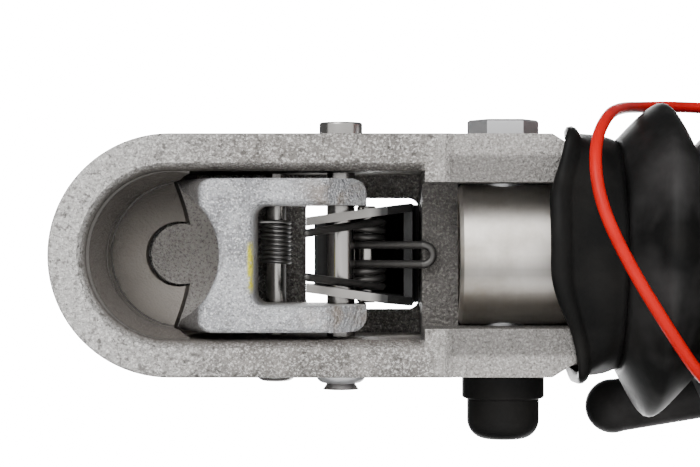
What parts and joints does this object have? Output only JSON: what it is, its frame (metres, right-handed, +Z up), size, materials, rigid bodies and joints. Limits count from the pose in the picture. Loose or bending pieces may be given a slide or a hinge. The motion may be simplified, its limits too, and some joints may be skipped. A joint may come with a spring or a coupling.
{
  "type": "overrun brake coupling",
  "caption": "Trailer overrun coupling with cast ball head, sprung clamp and handle, bellows, sliding draw tube, housing, overrun lever and handbrake.",
  "frame": {"origin": "on the drawbar face of the housing feet, in the middle of the four bolt holes", "axes": "+X towards the towing car, +Y to the left, +Z up"},
  "size_m": [0.5928, 0.156, 0.2037],
  "materials": {
    "blasted_casting": "blasted and galvanised, fine grain",
    "clamp_casting": "blasted, bright",
    "bright_steel": "ground",
    "spring_steel": "oiled, dark",
    "zinc_sheet": "zinc plated, worn edges",
    "ground_tube": "satin ground",
    "zinc_fastener": "zinc plated",
    "black_rubber": "matt",
    "black_plastic": "fine grain",
    "bronze": "turned",
    "brass": "turned",
    "red_pvc": "smooth"
  },
  "bodies": {
    "housing": {"housing": "blasted_casting", "front_bush": "bronze", "rear_bush": "bronze", "front_nipple": "brass", "rear_nipple": "brass", "bellows": "black_rubber", "bellows_clip": "zinc_sheet", "damper_cylinder": "zinc_fastener", "damper_gland": "black_plastic", "damper_pin": "zinc_fastener", "lever_shaft": "bright_steel", "left_circlip": "spring_steel", "right_circlip": "spring_steel", "ratchet_sector": "zinc_sheet", "sector_bolt_1": "zinc_fastener", "sector_bolt_2": "zinc_fastener", "breakaway_cable": "red_pvc", "cable_ferrule": "zinc_fastener", "snap_hook": "zinc_fastener"},
    "head": {"coupling_head": "blasted_casting", "pivot_pin": "bright_steel", "pivot_washer": "zinc_fastener", "catch_pin": "bright_steel", "clamp_spring": "spring_steel", "draw_tube": "ground_tube", "tube_bolt": "zinc_fastener", "tube_nut": "zinc_fastener", "nut_cap": "black_rubber", "damper_rod": "bright_steel", "damper_piston": "zinc_fastener"},
    "clamp": {"ball_clamp": "clamp_casting"},
    "handle": {"release_handle": "zinc_sheet", "handle_grip": "black_plastic", "spring_pin": "bright_steel", "handle_spring": "spring_steel"},
    "overrun_lever": {"overrun_lever": "zinc_sheet", "roller_pin": "bright_steel", "left_roller": "zinc_fastener", "right_roller": "zinc_fastener"},
    "handbrake": {"handbrake_lever": "zinc_sheet", "lever_spacer": "zinc_sheet", "handbrake_tube": "zinc_sheet", "handbrake_grip": "black_rubber", "pawl_pin": "bright_steel", "cable_stud": "zinc_fastener", "cable_eye": "zinc_sheet"},
    "pawl": {"ratchet_pawl": "zinc_sheet"}
  },
  "joints": [
    {"name": "overrun_slide", "type": "slide", "parent": "housing", "child": "head", "axis": [-1, 0, 0], "range_m": [0, 0.06], "stiffness_N_per_m": 1000, "springref_m": -0.02, "deforming": ["bellows"]},
    {"name": "overrun_lever_turn", "type": "hinge", "parent": "housing", "child": "overrun_lever", "pos_m": [-0.14306, 0, 0.016], "axis": [0, -1, 0], "range_deg": [0, 59]},
    {"name": "handle_lift", "type": "hinge", "parent": "head", "child": "handle", "pos_m": [0.3144, 0, 0.078], "axis": [0, 1, 0], "range_deg": [0, 40], "stiffness_Nm_per_rad": 4, "springref_deg": -17.19, "deforming": ["handle_spring"]},
    {"name": "clamp_swing", "type": "hinge", "parent": "head", "child": "clamp", "pos_m": [0.3144, 0, 0.078], "axis": [0, 1, 0], "range_deg": [0, 24.5]},
    {"name": "handbrake_pull", "type": "hinge", "parent": "housing", "child": "handbrake", "pos_m": [-0.14306, 0, 0.016], "axis": [0, -1, 0], "range_deg": [0, 85]},
    {"name": "pawl_lift", "type": "hinge", "parent": "handbrake", "child": "pawl", "pos_m": [-0.06889, 0, 0.05544], "axis": [0, 1, 0], "range_deg": [0, 14], "stiffness_Nm_per_rad": 0.2, "springref_deg": -17.19}
  ],
  "couplings": [
    {"joint": "overrun_lever_turn", "follows": "overrun_slide", "rad_per_m": 16.936},
    {"joint": "clamp_swing", "follows": "handle_lift", "ratio": 0.6}
  ]
}
